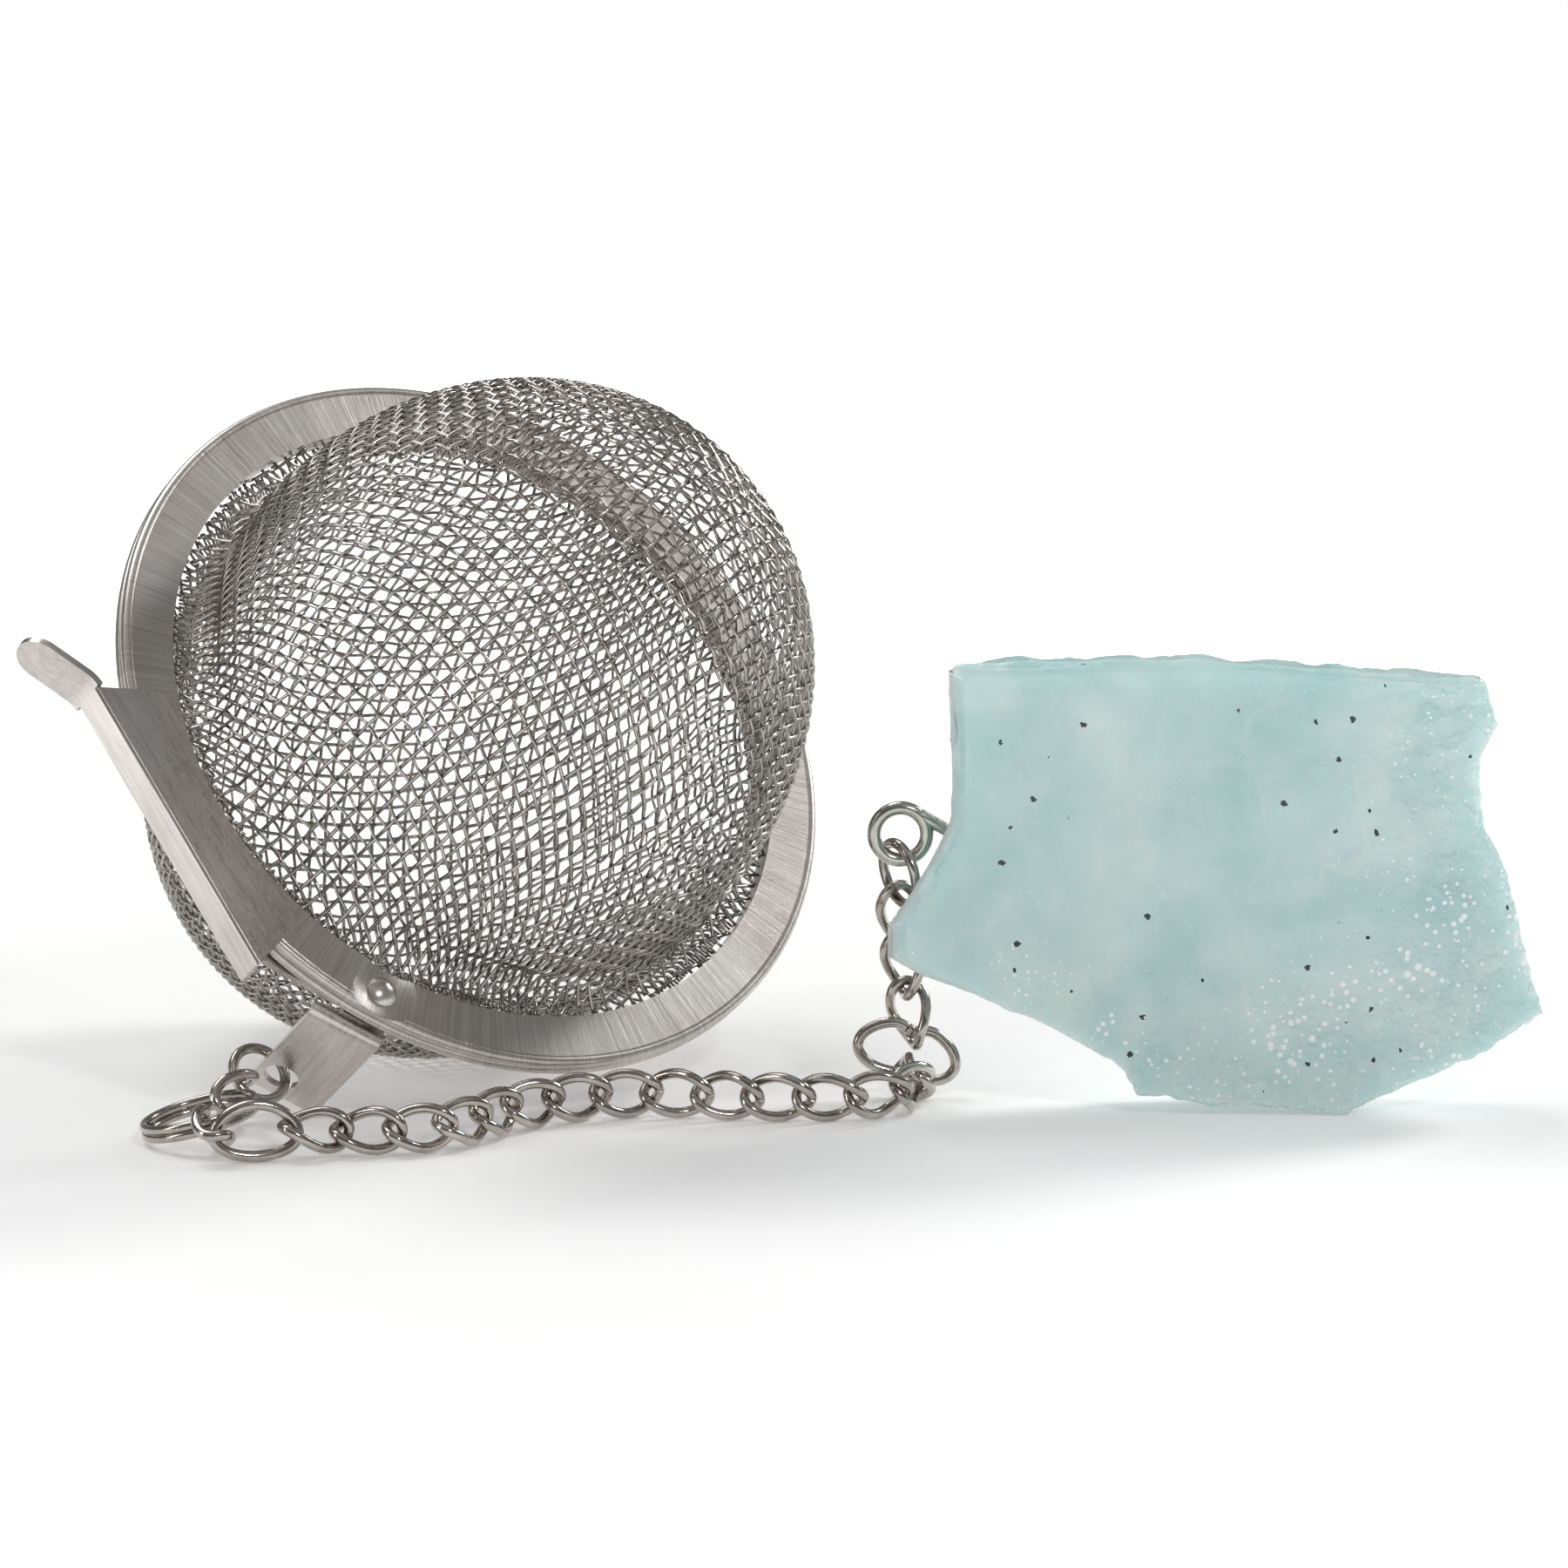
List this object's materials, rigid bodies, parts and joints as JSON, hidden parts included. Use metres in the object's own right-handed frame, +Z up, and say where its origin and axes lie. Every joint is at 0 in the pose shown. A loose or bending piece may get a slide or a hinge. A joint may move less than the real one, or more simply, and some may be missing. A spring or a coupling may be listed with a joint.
{
  "type": "tea infuser ball",
  "caption": "Hinged ball of wire mesh with flat steel rims and a swing latch, on a curb chain that ends in a rough stone pendant.",
  "frame": {"origin": "under the middle of the whole object's footprint, on the table", "axes": "+X from the ball to the pendant, +Y away from the viewer, +Z up"},
  "size_m": [0.109, 0.058, 0.0522],
  "materials": {
    "rim_steel": "brushed",
    "mesh_wire": "bright drawn wire",
    "latch_steel": "brushed",
    "chain_wire": "polished",
    "eye_wire": "satin",
    "crystal": "rough, sparkling"
  },
  "bodies": {
    "lid": {"lid_rim": "rim_steel", "lid_mesh": "mesh_wire", "pivot_rivet": "latch_steel", "chain_tab": "latch_steel"},
    "cup": {"cup_rim": "rim_steel", "cup_mesh": "mesh_wire"},
    "latch": {"latch_lever": "latch_steel"},
    "tab_ring": {"tab_ring": "chain_wire"},
    "link_01": {"link_01": "chain_wire"},
    "split_ring": {"split_ring": "chain_wire"},
    "link_02": {"link_02": "chain_wire"},
    "front_link": {"front_link": "chain_wire"},
    "link_03": {"link_03": "chain_wire"},
    "link_04": {"link_04": "chain_wire"},
    "link_05": {"link_05": "chain_wire"},
    "link_06": {"link_06": "chain_wire"},
    "link_07": {"link_07": "chain_wire"},
    "link_08": {"link_08": "chain_wire"},
    "link_09": {"link_09": "chain_wire"},
    "link_10": {"link_10": "chain_wire"},
    "link_11": {"link_11": "chain_wire"},
    "link_12": {"link_12": "chain_wire"},
    "link_13": {"link_13": "chain_wire"},
    "link_14": {"link_14": "chain_wire"},
    "link_15": {"link_15": "chain_wire"},
    "link_16": {"link_16": "chain_wire"},
    "link_17": {"link_17": "chain_wire"},
    "back_link": {"back_link": "chain_wire"},
    "link_18": {"link_18": "chain_wire"},
    "link_19": {"link_19": "chain_wire"},
    "link_20": {"link_20": "chain_wire"},
    "jump_ring": {"jump_ring": "chain_wire"},
    "pendant": {"peg_eye": "eye_wire", "stone": "crystal"}
  },
  "joints": [
    {"name": "cup_swivel", "type": "hinge", "parent": "lid", "child": "cup", "pos_m": [-0.0287, -0.01719, 0.00982], "axis": [0.4865, -0.6386, 0.5962], "range_deg": [0, 50]},
    {"name": "latch_swing", "type": "hinge", "parent": "cup", "child": "latch", "pos_m": [-0.0287, -0.01719, 0.00982], "axis": [-0.4865, 0.6386, -0.5962], "range_deg": [-40, 0]},
    {"name": "tab_ring_swing", "type": "hinge", "parent": "lid", "child": "tab_ring", "pos_m": [-0.03605, -0.01309, 0.0031], "axis": [0, 0, 1], "range_deg": [-10, 0]},
    {"name": "link_01_swing", "type": "hinge", "parent": "tab_ring", "child": "link_01", "pos_m": [-0.0388, -0.01559, 0.00267], "axis": [0, 0, -1], "range_deg": [0, 12]},
    {"name": "split_ring_swing", "type": "hinge", "parent": "link_01", "child": "split_ring", "pos_m": [-0.0396, -0.01748, 0.00231], "axis": [0, 0, 1], "range_deg": [-12, 0]},
    {"name": "link_02_swing", "type": "hinge", "parent": "split_ring", "child": "link_02", "pos_m": [-0.04027, -0.02499, 0.00214], "axis": [0, 0, -1], "range_deg": [0, 12]},
    {"name": "front_link_swing", "type": "hinge", "parent": "link_02", "child": "front_link", "pos_m": [-0.03962, -0.02752, 0.0022], "axis": [0, 0, 1], "range_deg": [-12, 0]},
    {"name": "link_03_swing", "type": "hinge", "parent": "front_link", "child": "link_03", "pos_m": [-0.03391, -0.02626, 0.0022], "axis": [0, 0, -1], "range_deg": [0, 12]},
    {"name": "link_04_swing", "type": "hinge", "parent": "link_03", "child": "link_04", "pos_m": [-0.03094, -0.02529, 0.0018], "axis": [0, 0, 1], "range_deg": [-6, 0]},
    {"name": "link_05_swing", "type": "hinge", "parent": "link_04", "child": "link_05", "pos_m": [-0.02724, -0.02512, 0.00182], "axis": [0, 0, -1], "range_deg": [0, 12]},
    {"name": "link_06_swing", "type": "hinge", "parent": "link_05", "child": "link_06", "pos_m": [-0.02371, -0.02401, 0.00182], "axis": [0, 0, 1], "range_deg": [-12, 0]},
    {"name": "link_07_swing", "type": "hinge", "parent": "link_06", "child": "link_07", "pos_m": [-0.02125, -0.02125, 0.00182], "axis": [0, 0, -1], "range_deg": [0, 12]},
    {"name": "link_08_swing", "type": "hinge", "parent": "link_07", "child": "link_08", "pos_m": [-0.01927, -0.01812, 0.00182], "axis": [0, 0, 1], "range_deg": [-12, 0]},
    {"name": "link_09_swing", "type": "hinge", "parent": "link_08", "child": "link_09", "pos_m": [-0.01645, -0.01573, 0.00182], "axis": [0, 0, -1], "range_deg": [0, 12]},
    {"name": "link_10_swing", "type": "hinge", "parent": "link_09", "child": "link_10", "pos_m": [-0.01314, -0.01408, 0.00182], "axis": [0, 0, 1], "range_deg": [-10, 10]},
    {"name": "link_11_swing", "type": "hinge", "parent": "link_10", "child": "link_11", "pos_m": [-0.00953, -0.01326, 0.00182], "axis": [0, 0, -1], "range_deg": [-10, 10]},
    {"name": "link_12_swing", "type": "hinge", "parent": "link_11", "child": "link_12", "pos_m": [-0.00587, -0.01384, 0.00182], "axis": [0, 0, 1], "range_deg": [-10, 10]},
    {"name": "link_13_swing", "type": "hinge", "parent": "link_12", "child": "link_13", "pos_m": [-0.00229, -0.01476, 0.00182], "axis": [0, 0, -1], "range_deg": [-10, 10]},
    {"name": "link_14_swing", "type": "hinge", "parent": "link_13", "child": "link_14", "pos_m": [0.00141, -0.01493, 0.00182], "axis": [0, 0, 1], "range_deg": [-10, 10]},
    {"name": "link_15_swing", "type": "hinge", "parent": "link_14", "child": "link_15", "pos_m": [0.00511, -0.01484, 0.0018], "axis": [0, 0, -1], "range_deg": [-10, 10]},
    {"name": "link_16_swing", "type": "hinge", "parent": "link_15", "child": "link_16", "pos_m": [0.00841, -0.01317, 0.00187], "axis": [0, 0, 1], "range_deg": [-10, 10]},
    {"name": "link_17_swing", "type": "hinge", "parent": "link_16", "child": "link_17", "pos_m": [0.00999, -0.00982, 0.0019], "axis": [0, 0, -1], "range_deg": [0, 12]},
    {"name": "back_link_swing", "type": "hinge", "parent": "link_17", "child": "back_link", "pos_m": [0.00862, -0.00699, 0.00175], "axis": [0, 0, 1], "range_deg": [-10, 10]},
    {"name": "link_18_swing", "type": "hinge", "parent": "back_link", "child": "link_18", "pos_m": [0.00939, -0.00666, 0.00488], "axis": [0, 0, -1], "range_deg": [-4, 12]},
    {"name": "link_19_swing", "type": "hinge", "parent": "link_18", "child": "link_19", "pos_m": [0.0088, -0.00614, 0.00793], "axis": [0, 0, 1], "range_deg": [-10, 10]},
    {"name": "link_20_swing", "type": "hinge", "parent": "link_19", "child": "link_20", "pos_m": [0.0085, -0.00662, 0.01159], "axis": [0, 0, -1], "range_deg": [-10, 10]},
    {"name": "jump_ring_swing", "type": "hinge", "parent": "link_20", "child": "jump_ring", "pos_m": [0.00827, -0.00711, 0.01469], "axis": [0, 0, 1], "range_deg": [-10, 10]},
    {"name": "pendant_swing", "type": "hinge", "parent": "jump_ring", "child": "pendant", "pos_m": [0.00838, -0.00851, 0.0179], "axis": [0, 0, -1], "range_deg": [-10, 10]}
  ]
}
